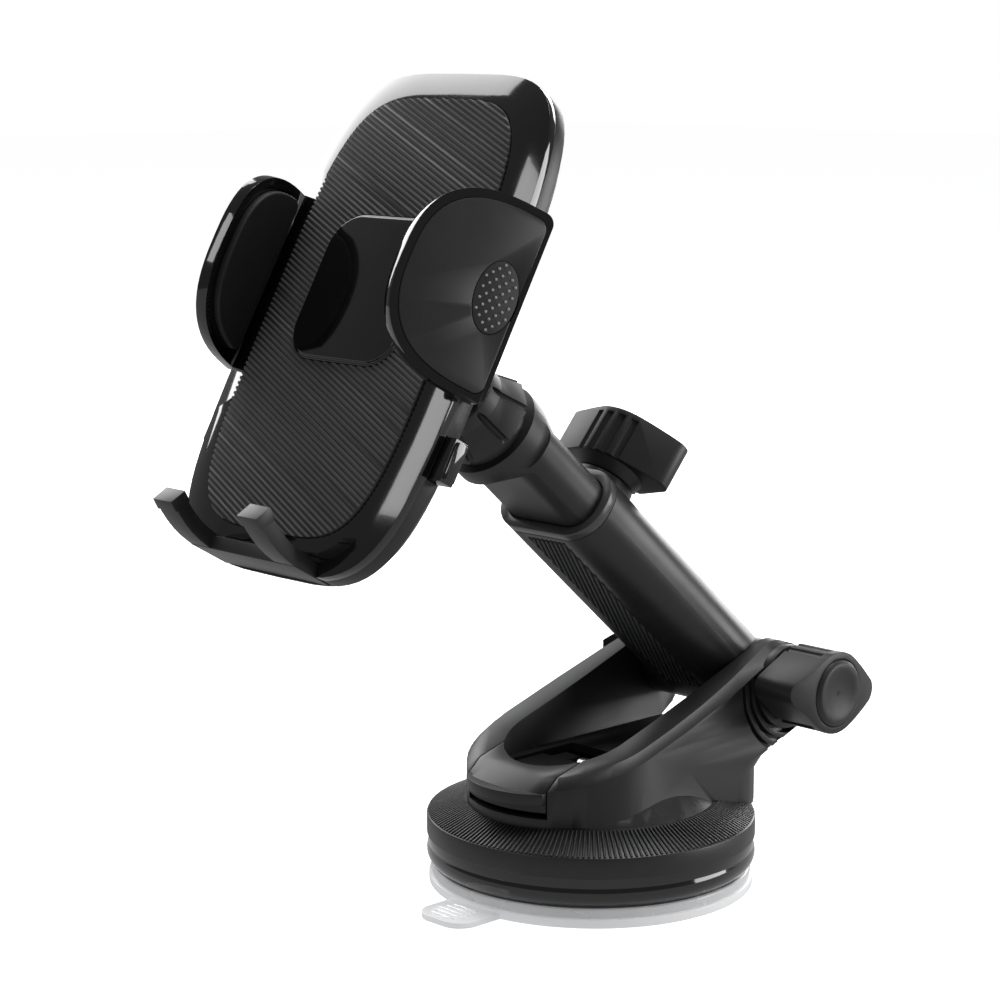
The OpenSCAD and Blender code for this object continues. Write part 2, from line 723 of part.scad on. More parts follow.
// squarish oval of the plate, made smaller by d all round
module plate_plan(d) polygon(oval(plate_w / 2 - d, plate_l / 2 - d, plate_n));

// solid from y0 to y1 with an x-z outline, its front shrunk by the factors in taper
module plate_solid(y0, y1, taper = [1, 1]) translate([0, y1, 0]) rotate([90, 0, 0])
    linear_extrude(y1 - y0, scale = taper, slices = 1) children();

// factors that shrink the plate's outline by d
function plate_taper(d) = [1 - 2 * d / plate_w, 1 - 2 * d / plate_l];

// notch in the plate's bottom edge that the foot sits in
module foot_notch() {
    span([-foot_base[0] - 0.4, -1, -far], [foot_base[0] + 0.4, slider_back + 0.2, foot_z + foot_base[1] + 0.2]);
    span([-foot_w / 2 - 0.2, slider_y - 0.1, -far], [foot_w / 2 + 0.2, slider_back + 0.15, -50]);
}

module at_posts() for (sx = [-1, 1], sz = [-1, 1])
    translate([sx * post_xz[0], 0, sz * post_xz[1]]) children();

module front_frame() color([0.04, 0.04, 0.04]) at_cradle() difference() {
    union() {
        plate_solid(edge_y, frame_y) plate_plan(0);
        plate_solid(bezel_y, edge_y, plate_taper(bezel_w)) plate_plan(0);
    }
    plate_solid(-1, pad_t) plate_plan(bezel_w + 0.2 - 0.15);
    translate([0, 0, clamp_z]) rod_y(1.6, 2, 10);
    at_posts() rod_y(cover_screw_r + run_gap, 2.5, 10);
    foot_notch();
}

module grip_pad() color([0.05, 0.05, 0.05]) at_cradle() difference() {
    plate_solid(0, pad_t) plate_plan(bezel_w + 0.2);
    translate([0, -1, badge_cz]) rotate([-90, 0, 0]) linear_extrude(pad_t + 2)
        round_rect(badge_w + 0.2, badge_w + 0.2, 8.1);
}

module badge_plate() color([0.03, 0.03, 0.03]) at_cradle() translate([0, 0, badge_cz])
    rotate([-90, 0, 0]) {
        translate([0, 0, -1]) linear_extrude(pad_t + 1) round_rect(badge_w - 1.2, badge_w - 1.2, 7.4);
        translate([0, 0, -0.4]) linear_extrude(pad_t + 0.4) round_rect(badge_w, badge_w, 8);
    }

module rear_cover() color([0.1, 0.1, 0.1]) at_cradle() difference() {
    union() {
        difference() {
            union() {
                plate_solid(frame_y, plate_depth - 3) plate_plan(0.1);
                rotate([0, 0, 180]) translate([0, -2 * plate_depth + 3, 0])
                    plate_solid(plate_depth - 3, plate_depth, plate_taper(2.6)) plate_plan(0.1);
            }
            plate_solid(frame_y - 1, cavity_y) plate_plan(back_wall);
        }
        translate([0, 0, boss_z]) rod_y(boss_r + 5, cavity_y, plate_depth + 2);
        translate([0, 0, boss_z]) rod_y(boss_r, cavity_y, boss_y);
        at_posts() rod_y(3.2, frame_y, plate_depth - 1);
        // rails behind the two rack bars
        for (s = [-1, 1], t = [-1, 1]) {
            z = clamp_z + t * (rack_root + 2.4);
            span([s > 0 ? 7 : -27, slider_back + 0.2, z - 1.5], [s > 0 ? 27 : -7, cavity_y, z + 1.5]);
        }
        // post that holds the spring's outer end
        translate([0, 0, clamp_z]) rotate([0, 20, 0]) translate([8.3, 0, 0])
            rod_y(0.5, slider_back + 0.3, cavity_y);
    }
    // side slots of the rack bars and of the buttons
    for (s = [-1, 1]) {
        z = clamp_z + s * (rack_root + bar_h / 2);
        span([s > 0 ? 25 : -far, slider_y - 0.3, z - bar_h / 2 - 0.2],
            [s > 0 ? far : -25, slider_back + 0.15, z + bar_h / 2 + 0.2]);
        span([s > 0 ? 28 : -far, button_y[0] - 0.15, button_z - button_h / 2 - 0.15],
            [s > 0 ? far : -28, button_y[1] + 0.15, button_z + button_h / 2 + 0.15]);
    }
    // socket for the ball stem and its screw
    translate([0, 0, boss_z]) {
        rod_y(4 + run_gap, boss_y - stem_l - 0.05, boss_y + 1);
        rod_y(ball_screw_r + run_gap, 5, boss_y);
        rod_y(2.9, 5, boss_y - 9);
    }
    translate([0, 0, clamp_z]) rod_y(1.5 + run_gap, 5, 9.6);
    at_posts() {
        rod_y(cover_screw_r + run_gap, 0, 20);
        rod_y(2.4, cavity_y, 20);
    }
    foot_notch();
}

module ball_screw() color("silver") at_cradle() translate([0, 0, boss_z]) {
    rod_y(ball_screw_r, boss_y - 9, boss_y + 4);
    rod_y(2.8, boss_y - 10.8, boss_y - 9);
}

module housing_screws() color("silver") at_cradle() at_posts() difference() {
    union() {
        rod_y(cover_screw_r, 2.7, cavity_y);
        rod_y(2.2, cavity_y, plate_depth - 0.5);
    }
    translate([0, plate_depth - 1.5, 0]) rotate([-90, 0, 0]) cylinder(r = 1, h = 3, $fn = 6);
}

module pinion_pin() color("silver") at_cradle() translate([0, 0, clamp_z])
    rod_y(1.5, 2.3, 9.4);

// involute of the base circle at t degrees of roll, turned by a
function involute(t, a) = let (r = base_cr, q = a + t) [
    r * (cos(q) + t * PI / 180 * sin(q)), r * (sin(q) - t * PI / 180 * cos(q))];

// one side of a tooth: rolls from the base circle to the tip circle
function roll_to(r) = r <= base_cr ? 0 : sqrt(pow(r / base_cr, 2) - 1) * 180 / PI;

module pinion_plan() {
    tip_r = pitch_r + 0.9;
    root_r = pitch_r - 1.25;
    inv_p = roll_to(pitch_r) - atan(roll_to(pitch_r) * PI / 180);
    half = 90 / pinion_teeth - backlash / 2 + inv_p;
    circle(r = root_r);
    for (k = [0:pinion_teeth - 1]) rotate(k * 360 / pinion_teeth) polygon(concat(
        [[0, 0]],
        [for (i = [0:4]) involute(roll_to(tip_r) * i / 4, -half)],
        [for (i = [4:-1:0]) let (p = involute(roll_to(tip_r) * i / 4, -half)) [p[0], -p[1]]]));
}

module pinion() color([0.85, 0.85, 0.82]) at_cradle() translate([0, 0, clamp_z]) difference() {
    union() {
        translate([0, slider_back, 0]) rotate([90, 0, 0]) linear_extrude(slider_t) pinion_plan();
        rod_y(3.2, slider_back - 0.1, cavity_y - 0.15);
    }
    rod_y(1.5 + run_gap, 0, 20);
}

// spiral spring from the pinion's hub out to its post
module opening_spring() color("silver") at_cradle() translate([0, cavity_y - 0.3, clamp_z])
    rotate([90, 0, 0]) linear_extrude(1.4) polygon(concat(
        [for (i = [0:90]) let (a = i * 14 - 40, r = 3.45 + i * 0.047) [r * cos(a), r * sin(a)]],
        [for (i = [90:-1:0]) let (a = i * 14 - 40, r = 3.75 + i * 0.047) [r * cos(a), r * sin(a)]]));

// rack bar above the pinion, teeth down, seen with x across and z up from the pinion's axis
module rack_plan() {
    tooth = tooth_pitch / 2 - 0.1;
    difference() {
        translate([-20, rack_root]) square([root_x + 22.4, bar_h]);
        translate([-21, 0]) square([1, 20]);
    }
    for (k = [-6:0]) translate([tooth_pitch * (k + 0.5), 0]) polygon([
        [-tooth / 2 - 0.45, rack_root + 0.01], [tooth / 2 + 0.45, rack_root + 0.01],
        [tooth / 2 - 0.33, pitch_r - 0.9], [-tooth / 2 + 0.33, pitch_r - 0.9]]);
}

// places children on the inner face of the right clamp: x outwards, y along its lean, z up
module on_wing() translate([clamp_x, 0, wing_z]) rotate([0, 0, -clamp_lean]) children();

// outline of a clamp, seen from outside, made smaller by d and ending behind at back
module wing_plan(d, back) offset(r = 2.2) offset(delta = -2.2) intersection() {
    translate([clamp_u, 0]) polygon(oval(clamp_a - d, clamp_b - d, 2.7));
    translate([-far, -far]) square([far + back, 2 * far]);
}

// slab of the clamp between two distances from its inner face
module wing_slab(x0, x1, d, back) on_wing() translate([x0, 0, 0]) rotate([90, 0, 90])
    linear_extrude(x1 - x0) wing_plan(d, back);

// tilted oval of the finger grip, seen from outside
module grip_plan(d) translate([grip_u, grip_z - wing_z]) rotate(grip_tilt)
    polygon(oval(grip_size[0] + d, grip_size[1] + d, 2, 48));

module clamp_wing() difference() {
    union() {
        wing_slab(0, clamp_t - 0.3, 0, clamp_back);
        span([root_x, edge_y, wing_z - root_half], [clamp_x + 2.8, clamp_back - 0.6, wing_z + root_half]);
    }
    wing_slab(clamp_t - 1.1, clamp_t + 2, 1.7, clamp_back - 1);
    wing_slab(-4, 0.3, 2.5, pad_back + 0.1);
}

module clamp_arm(side) color([0.04, 0.04, 0.04]) at_cradle() {
    if (side > 0) clamp_wing();
    else mirror([1, 0, 0]) clamp_wing();
    translate([0, slider_back, clamp_z]) rotate([90, 0, 0]) linear_extrude(slider_t)
        rotate(side > 0 ? 0 : 180) rack_plan();
}

module clamp_cover() color([0.13, 0.13, 0.14]) difference() {
    wing_slab(clamp_t - 1.1, clamp_t, 1.8, clamp_back - 1.1);
    on_wing() rotate([90, 0, 90]) linear_extrude(10) grip_plan(0.05);
}

module clamp_grip() color([0.1, 0.1, 0.11]) on_wing() translate([clamp_t - 1.1, 0, 0])
    rotate([90, 0, 90]) linear_extrude(1.2) grip_plan(0);

module clamp_pad() color([0.06, 0.06, 0.06]) wing_slab(-1.5, 0.3, 2.6, pad_back);

module release_button() color([0.1, 0.1, 0.1]) {
    z0 = button_z - button_h / 2;
    z1 = button_z + button_h / 2;
    x1 = plate_w / 2 + button_out;
    span([button_in, button_y[0], z0], [x1 - 0.8, button_y[1], z1]);
    span([x1 - 1, button_y[0] + 0.5, z0 + 0.6], [x1, button_y[1] - 0.5, z1 - 0.6]);
    span([button_in, button_y[0], z0 - 1], [button_in + 1.4, button_y[1] - 0.2, z1 + 1]);
    plate_solid(pawl_y[0], pawl_y[1]) polygon([[23.5, button_z + 4.3], [27.5, button_z + 1.3],
        [button_in + 0.5, button_z + 1.3], [button_in + 0.5, button_z + 4.3]]);
}

module latch_pawl() color([0.85, 0.85, 0.82])
    plate_solid(pawl_y[0], pawl_y[1]) polygon([[3, button_z], [26, button_z],
        [26, button_z + 2], [22, button_z + 5], [22, button_z + 3], [6, button_z + 3],
        [6, clamp_z - bar_top - 1.2], [4.5, clamp_z - bar_top - 0.2], [3, clamp_z - bar_top - 1.2]]);

module prong() intersection() {
    translate([prong_x, prong_cy, foot_z + prong_r]) difference() {
        rod_x(prong_r, -prong_w / 2, prong_w / 2);
        rod_x(prong_r - prong_t, -prong_w, prong_w);
    }
    translate([prong_x + prong_w, prong_cy, foot_z + prong_r]) rotate([90, 0, -90])
        linear_extrude(2 * prong_w) polygon([[0, 0], [0, -far],
            [far * sin(prong_angle), -far], [far * sin(prong_angle), -far * cos(prong_angle)]]);
}

module foot() color([0.09, 0.09, 0.09]) at_cradle() difference() {
    union() {
        span([-foot_w / 2, slider_y, foot_z + 1], [foot_w / 2, slider_back, -29]);
        span([-foot_base[0], prong_cy - 2, foot_z],
            [foot_base[0], slider_back, foot_z + foot_base[1]]);
        mirror_copy() {
            prong();
            // soft-cornered tip
            translate([prong_x, prong_cy, foot_z + prong_r]) rotate([-prong_angle, 0, 0])
                span([-prong_w / 2, -tip_l, -prong_r - 0.4],
                    [prong_w / 2, 0.5, -prong_r + prong_t + 0.4]);
        }
    }
    // detent notches
    for (k = [0:4]) translate([0, slider_back + 0.15, -40 + k * 4.5 - 0.5]) rod_x(0.6, -5, 5);
}

module foot_detent() color("silver") at_cradle()
    rotate([90, 0, 90]) translate([0, 0, -3]) linear_extrude(6) polygon([
        [cavity_y, -34], [slider_back + 0.15, -40], [cavity_y, -46],
        [cavity_y, -45.4], [slider_back + 0.5, -40], [cavity_y, -34.6]]);

gel_pad();
suction_cup();
pressure_ring();
ribbed_ring();
base_plate();
base_screws();
base_shell();
pivot_bolt();
pivot_cap();
friction_washers();
suction_stud();
suction_lever();
lever_pin();
pivot_washer();
base_knob();
base_knob_insert();
base_knob_cap();
outer_arm();
texture_strip();
arm_collar();
lock_insert();
lock_shoe();
lock_knob();
lock_screw();
lock_knob_cap();
inner_arm();
arm_end_plug();
ring_nut();
ball_seat();
ball_stem();
rear_cover();
front_frame();
grip_pad();
badge_plate();
ball_screw();
housing_screws();
pinion_pin();
opening_spring();
pinion();
clamp_arm(1);  // clamp_arm_right
at_cradle() clamp_cover();  // clamp_cover_right
at_cradle() clamp_grip();  // clamp_grip_right
at_cradle() clamp_pad();  // clamp_pad_right
clamp_arm(-1);  // clamp_arm_left
at_cradle() mirror([1, 0, 0]) clamp_cover();  // clamp_cover_left
at_cradle() mirror([1, 0, 0]) clamp_grip();  // clamp_grip_left
at_cradle() mirror([1, 0, 0]) clamp_pad();  // clamp_pad_left
at_cradle() release_button();  // release_button_right
at_cradle() mirror([1, 0, 0]) release_button();  // release_button_left
at_cradle() latch_pawl();  // latch_pawl_right
at_cradle() mirror([1, 0, 0]) latch_pawl();  // latch_pawl_left
foot();
foot_detent();
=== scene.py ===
# Car phone mount: suction base, tilting telescopic arm, ball head, and a phone cradle with two
# side clamps and a sliding foot. Black moulded plastic, gloss and satin, on a clear gel pad.
import json
import math

import bpy
from mathutils import Matrix, Vector


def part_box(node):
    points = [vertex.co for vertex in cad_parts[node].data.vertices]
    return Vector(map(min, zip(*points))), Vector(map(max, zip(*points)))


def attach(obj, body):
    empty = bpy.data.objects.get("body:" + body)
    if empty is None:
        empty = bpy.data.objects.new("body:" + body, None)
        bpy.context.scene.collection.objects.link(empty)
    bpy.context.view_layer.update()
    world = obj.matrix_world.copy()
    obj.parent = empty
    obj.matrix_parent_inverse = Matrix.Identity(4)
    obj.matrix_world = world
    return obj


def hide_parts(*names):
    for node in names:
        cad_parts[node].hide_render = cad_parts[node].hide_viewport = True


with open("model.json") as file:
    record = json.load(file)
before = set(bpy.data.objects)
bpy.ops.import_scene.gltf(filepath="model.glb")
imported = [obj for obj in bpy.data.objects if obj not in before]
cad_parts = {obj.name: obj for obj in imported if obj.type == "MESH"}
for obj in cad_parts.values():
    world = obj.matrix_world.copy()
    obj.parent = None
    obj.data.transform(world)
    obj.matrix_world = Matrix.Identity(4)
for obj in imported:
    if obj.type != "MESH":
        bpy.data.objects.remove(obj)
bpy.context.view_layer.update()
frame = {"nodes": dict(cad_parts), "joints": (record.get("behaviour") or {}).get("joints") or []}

# ---------------------------------------------------------------- studio
# A long lens looks down a little at the front right of the mount. Big soft lamps stand in front,
# on the left, behind and overhead, so the gloss plastic shows broad grey panels with sharp ends.
camera_data = bpy.data.cameras.new("studio_camera")
camera_data.lens = 95.05
camera_data.sensor_width = 36
camera_data.clip_end = 20
camera = bpy.data.objects.new("studio_camera", camera_data)
bpy.context.scene.collection.objects.link(camera)
camera.location = (0.4033, -0.4210, 0.1895)
look = Vector((-0.01446, -0.01488, 0.0876)) - Vector(camera.location)
camera.rotation_euler = look.to_track_quat("-Z", "Y").to_euler()
bpy.context.scene.camera = camera

bpy.context.scene.view_settings.view_transform = "Standard"

bpy.ops.object.select_all(action="DESELECT")
bpy.ops.mesh.primitive_plane_add(size=8, location=(0, 0, -0.0002))
floor = bpy.context.object
floor.name = "studio_floor"
floor_paint = bpy.data.materials.new("studio_white")
floor_paint.use_nodes = True
floor_tree = floor_paint.node_tree
floor_shader = floor_tree.nodes["Principled BSDF"]
floor_shader.inputs["Base Color"].default_value = (0.86, 0.86, 0.86, 1)
floor_shader.inputs["Roughness"].default_value = 1.0
floor_shader.inputs["Specular IOR Level"].default_value = 0.0
floor_shader.inputs["Emission Color"].default_value = (1, 1, 1, 1)
floor_shader.inputs["Emission Strength"].default_value = 0.85
floor_dark = floor_tree.nodes.new("ShaderNodeEmission")
floor_dark.inputs["Color"].default_value = (0.5, 0.5, 0.5, 1)
floor_ray = floor_tree.nodes.new("ShaderNodeLightPath")
floor_mix = floor_tree.nodes.new("ShaderNodeMixShader")
floor_tree.links.new(floor_ray.outputs["Is Camera Ray"], floor_mix.inputs["Fac"])
floor_tree.links.new(floor_dark.outputs["Emission"], floor_mix.inputs[1])
floor_tree.links.new(floor_shader.outputs["BSDF"], floor_mix.inputs[2])
floor_tree.links.new(floor_mix.outputs["Shader"],
                     floor_tree.nodes["Material Output"].inputs["Surface"])
floor.data.materials.append(floor_paint)

world = bpy.data.worlds.new("studio_air")
bpy.context.scene.world = world
world.use_nodes = True
air = world.node_tree.nodes["Background"]
air.inputs["Color"].default_value = (1, 1, 1, 1)
air.inputs["Strength"].default_value = 1.0
air_dark = world.node_tree.nodes.new("ShaderNodeBackground")
air_dark.inputs["Color"].default_value = (0.16, 0.16, 0.165, 1)
air_ray = world.node_tree.nodes.new("ShaderNodeLightPath")
air_mix = world.node_tree.nodes.new("ShaderNodeMixShader")
world.node_tree.links.new(air_ray.outputs["Is Camera Ray"], air_mix.inputs["Fac"])
world.node_tree.links.new(air_dark.outputs["Background"], air_mix.inputs[1])
world.node_tree.links.new(air.outputs["Background"], air_mix.inputs[2])
world.node_tree.links.new(air_mix.outputs["Shader"],
                          world.node_tree.nodes["World Output"].inputs["Surface"])


def soft_lamp(name, place, aim, width, height, watts):
    data = bpy.data.lights.new(name, "AREA")
    data.shape = "RECTANGLE"
    data.size = width
    data.size_y = height
    data.energy = watts
    lamp = bpy.data.objects.new(name, data)
    bpy.context.scene.collection.objects.link(lamp)
    lamp.location = place
    lamp.rotation_euler = (Vector(aim) - Vector(place)).to_track_quat("-Z", "Y").to_euler()
    return lamp


soft_lamp("left_lamp", (-0.86, 0.15, 0.66), (0, -0.05, 0.14), 0.6, 0.85, 5.6)
soft_lamp("front_lamp", (-0.17, -0.85, 0.85), (0, -0.05, 0.12), 0.34, 0.5, 2.4)
soft_lamp("top_lamp", (0.05, 0.3, 1.1), (0, 0, 0.05), 0.6, 0.45, 6.5)
soft_lamp("right_lamp", (0.75, 0.7, 0.22), (0, 0, 0.06), 0.55, 0.5, 5.5)
soft_lamp("back_lamp", (-0.3, 0.95, 0.3), (0, 0, 0.1), 0.7, 0.45, 5.5)

# ---------------------------------------------------------------- mechanical layout
# Where the moving groups stand: the pivot and the arm's length, the ball, and the cradle's own
# frame with x across, y backwards through the plate and z up the plate.
joint_of = {joint["name"]: joint for joint in frame["joints"]}
pivot = Vector(joint_of["arm_tilt"]["pos_m"])
arm_along = Vector(joint_of["arm_extend"]["axis"]).normalized()
arm_over = arm_along.cross(Vector((1, 0, 0)))
cradle_back = Vector(joint_of["cradle_turn"]["axis"]).normalized()
cradle_up = Vector((1, 0, 0)).cross(cradle_back)
cradle_origin = (Vector(joint_of["pinion_turn"]["pos_m"])
                 - 0.0055 * cradle_back - 0.0075 * cradle_up)
cradle_frame = Matrix((
    (1, cradle_back.x, cradle_up.x, cradle_origin.x),
    (0, cradle_back.y, cradle_up.y, cradle_origin.y),
    (0, cradle_back.z, cradle_up.z, cradle_origin.z),
    (0, 0, 0, 1)))
arm_frame = Matrix((
    (1, arm_over.x, arm_along.x, pivot.x),
    (0, arm_over.y, arm_along.y, pivot.y),
    (0, arm_over.z, arm_along.z, pivot.z),
    (0, 0, 0, 1)))


def settle(piece, place=Matrix.Identity(4)):
    """Bakes a piece's place into its mesh, in a body's own frame."""
    bpy.ops.object.mode_set(mode="OBJECT")
    bpy.ops.object.select_all(action="DESELECT")
    piece.select_set(True)
    bpy.context.view_layer.objects.active = piece
    bpy.ops.object.transform_apply(location=True, rotation=True, scale=True)
    piece.data.transform(place)
    piece.data.update()


def hand_over(piece, name, body, slot, finish, *nodes):
    """Names a finished piece, paints it and lets it ride on its body."""
    piece.name = name
    piece.data.name = name
    piece.data.materials.clear()
    piece.data.materials.append(finish)
    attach(piece, body)
    if nodes:
        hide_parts(*nodes)


# ---------------------------------------------------------------- moulding grain
# Every moulded face has a fine spark-eroded grain with a little unevenness, and picks up faint
# handling marks. One group gives the grain's height and two soft masks.
grain = bpy.data.node_groups.new("moulding_grain", "ShaderNodeTree")
for socket_name, first in (("Grain Size", 0.3), ("Mottle Size", 6.0), ("Mark Size", 18.0)):
    socket = grain.interface.new_socket(socket_name, in_out="INPUT", socket_type="NodeSocketFloat")
    socket.default_value = first
for socket_name in ("Height", "Mottle", "Marks"):
    grain.interface.new_socket(socket_name, in_out="OUTPUT", socket_type="NodeSocketFloat")
grain_in = grain.nodes.new("NodeGroupInput")
grain_out = grain.nodes.new("NodeGroupOutput")
grain_place = grain.nodes.new("ShaderNodeTexCoord")
for mask, size_socket, kind, detail in (
        ("Height", "Grain Size", "ShaderNodeTexVoronoi", None),
        ("Mottle", "Mottle Size", "ShaderNodeTexNoise", 3.0),
        ("Marks", "Mark Size", "ShaderNodeTexNoise", 6.0)):
    rate = grain.nodes.new("ShaderNodeMath")
    rate.operation = "DIVIDE"
    rate.inputs[0].default_value = 1000.0
    grain.links.new(grain_in.outputs[size_socket], rate.inputs[1])
    pattern = grain.nodes.new(kind)
    grain.links.new(grain_place.outputs["Object"], pattern.inputs["Vector"])
    grain.links.new(rate.outputs[0], pattern.inputs["Scale"])
    if detail is not None:
        pattern.inputs["Detail"].default_value = detail
    grain.links.new(pattern.outputs["Distance" if detail is None else "Fac"],
                    grain_out.inputs[mask])


def moulded(name, colour, lift, rough, spread, grain_mm=0.35, depth=0.00002, bump=0.25, coat=0.0):
    """Moulded plastic or rubber: colour from dark to lift, roughness from rough up by spread."""
    finish = bpy.data.materials.new(name)
    finish.use_nodes = True
    tree = finish.node_tree
    shader = tree.nodes["Principled BSDF"]
    texture = tree.nodes.new("ShaderNodeGroup")
    texture.node_tree = grain
    texture.inputs["Grain Size"].default_value = grain_mm
    tint = tree.nodes.new("ShaderNodeMix")
    tint.data_type = "RGBA"
    tint.inputs["A"].default_value = (*colour, 1)
    tint.inputs["B"].default_value = (*lift, 1)
    tree.links.new(texture.outputs["Mottle"], tint.inputs["Factor"])
    tree.links.new(tint.outputs["Result"], shader.inputs["Base Color"])
    matt = tree.nodes.new("ShaderNodeMapRange")
    matt.inputs["From Min"].default_value = 0.35
    matt.inputs["From Max"].default_value = 0.7
    matt.inputs["To Min"].default_value = rough
    matt.inputs["To Max"].default_value = rough + spread
    tree.links.new(texture.outputs["Marks"], matt.inputs["Value"])
    tree.links.new(matt.outputs["Result"], shader.inputs["Roughness"])
    relief = tree.nodes.new("ShaderNodeBump")
    relief.inputs["Strength"].default_value = bump
    relief.inputs["Distance"].default_value = depth
    tree.links.new(texture.outputs["Height"], relief.inputs["Height"])
    tree.links.new(relief.outputs["Normal"], shader.inputs["Normal"])
    shader.inputs["IOR"].default_value = 1.5
    shader.inputs["Coat Weight"].default_value = coat
    shader.inputs["Coat Roughness"].default_value = 0.03
    return finish


satin_black = moulded("satin_black", (0.014, 0.014, 0.015), (0.022, 0.022, 0.023), 0.36, 0.08)
fine_satin = moulded("fine_satin", (0.017, 0.017, 0.018), (0.025, 0.025, 0.026), 0.42, 0.08,
                     grain_mm=0.25)
gloss_black = moulded("gloss_black", (0.0035, 0.0035, 0.004), (0.006, 0.006, 0.0065), 0.07, 0.05,
                      grain_mm=1.4, depth=0.000004, bump=0.1, coat=0.6)
soft_black = moulded("soft_black", (0.016, 0.016, 0.016), (0.026, 0.026, 0.026), 0.58, 0.1,
                     grain_mm=0.2, depth=0.00003, bump=0.35)
# Painted highlight: the ribs are lifted lighter than the black rubber they stand on, so their
# crests read as bright lines.
rib_painted_highlight = moulded("rib_painted_highlight", (0.05, 0.05, 0.051), (0.062, 0.062, 0.063), 0.5, 0.08,
                     grain_mm=0.2)
hidden_grey = moulded("hidden_grey", (0.05, 0.05, 0.053), (0.075, 0.075, 0.08), 0.5, 0.1)
# Painted highlight: the collar is black, and this lighter grey stands in for the light its end
# catches.
collar_grey = moulded("collar_grey", (0.05, 0.05, 0.052), (0.075, 0.075, 0.078), 0.25, 0.08)
nylon_white = moulded("nylon_white", (0.68, 0.68, 0.64), (0.78, 0.78, 0.74), 0.45, 0.1)


def metal(name, colour, lift, rough, spread):
    """Plated or turned metal with a fine uneven sheen."""
    finish = moulded(name, colour, lift, rough, spread, grain_mm=0.12, depth=0.000006, bump=0.2)
    finish.node_tree.nodes["Principled BSDF"].inputs["Metallic"].default_value = 1.0
    return finish


zinc_steel = metal("zinc_steel", (0.46, 0.47, 0.48), (0.6, 0.6, 0.61), 0.25, 0.12)
turned_brass = metal("turned_brass", (0.62, 0.44, 0.18), (0.74, 0.56, 0.27), 0.22, 0.12)


def rounded(node, body, slot, finish, edge, turn=32, weld=0.00004, steps=2):
    """A moulded piece's own edges: the CAD shape with its sharp corners eased."""
    bpy.ops.object.select_all(action="DESELECT")
    source = frame["nodes"][node]
    source.select_set(True)
    bpy.context.view_layer.objects.active = source
    bpy.ops.object.duplicate()
    piece = bpy.context.object
    for key in list(piece.keys()):
        del piece[key]
    bpy.ops.object.mode_set(mode="EDIT")
    bpy.ops.mesh.select_all(action="SELECT")
    bpy.ops.mesh.remove_doubles(threshold=weld)
    bpy.ops.mesh.dissolve_limited(angle_limit=math.radians(0.8))
    bpy.ops.object.mode_set(mode="OBJECT")
    if edge:
        ease = piece.modifiers.new("edge", "BEVEL")
        ease.width = edge
        ease.segments = steps
        ease.limit_method = "ANGLE"
        ease.angle_limit = math.radians(turn)
        ease.harden_normals = False
        bpy.ops.object.modifier_apply(modifier="edge")
    bpy.ops.object.shade_smooth_by_angle(angle=math.radians(turn))
    hand_over(piece, node + "_moulding", body, slot, finish, node)
    return piece


# ---------------------------------------------------------------- gel pad and suction cup
# A clear sticky gel disc with a ribbed tab for peeling it off, under a milky soft rubber cup.
# The gel is cast, so its edges are rounded and some light comes through it; it also carries a
# faint painted glow, an emission that stands in for more light shining through.
clear_gel = moulded("clear_gel", (0.92, 0.93, 0.94), (0.97, 0.97, 0.98), 0.12, 0.1, grain_mm=3.0,
                    depth=0.00003, bump=0.2)
clear_gel.node_tree.nodes["Principled BSDF"].inputs["Transmission Weight"].default_value = 0.25
clear_gel.node_tree.nodes["Principled BSDF"].inputs["IOR"].default_value = 1.41
# Painted glow: a faint white emission makes the gel and its tab ribs look lit through, though they
# are no lamp.
clear_gel.node_tree.nodes["Principled BSDF"].inputs["Emission Color"].default_value = (1, 1, 1, 1)
clear_gel.node_tree.nodes["Principled BSDF"].inputs["Emission Strength"].default_value = 0.14
cup_rubber = moulded("cup_rubber", (0.8, 0.81, 0.82), (0.9, 0.9, 0.91), 0.22, 0.1, grain_mm=2.0)
cup_rubber.node_tree.nodes["Principled BSDF"].inputs["Transmission Weight"].default_value = 0.2
rounded("gel_pad", "base", "clear_gel", clear_gel, 0.0005, steps=3)
rounded("suction_cup", "base", "cup_rubber", cup_rubber, 0.0005, steps=3)

bpy.ops.object.select_all(action="DESELECT")
pad_low, pad_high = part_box("gel_pad")
for rib in range(5):
    bpy.ops.mesh.primitive_cylinder_add(
        vertices=10, radius=0.00045, depth=0.0095 - 0.0012 * abs(rib - 2),
        location=(0, pad_low.y + 0.0022 + 0.0017 * rib, 0.0014), rotation=(0, math.pi / 2, 0))
    tab_rib = bpy.context.object
    tab_rib.scale = (0.8, 1, 1)
    settle(tab_rib)
    bpy.ops.object.mode_set(mode="EDIT")
    bpy.ops.mesh.select_all(action="SELECT")
    bpy.ops.mesh.bevel(offset=0.00018, segments=2, affect="EDGES")
    bpy.ops.object.mode_set(mode="OBJECT")
    bpy.ops.object.shade_smooth_by_angle(angle=math.radians(50))
    hand_over(tab_rib, f"tab_rib_{rib + 1}", "base", "clear_gel", clear_gel)

# ---------------------------------------------------------------- base rings
# A gloss ring presses the cup down. On it sits a satin ring whose sloping top is cut with fine
# radial ribs, so that fingers can hold the base while the lever is worked.
rounded("pressure_ring", "base", "gloss_black", gloss_black, 0.0004, turn=40, steps=3)
rounded("ribbed_ring", "base", "satin_black", satin_black, 0.00025, turn=40)

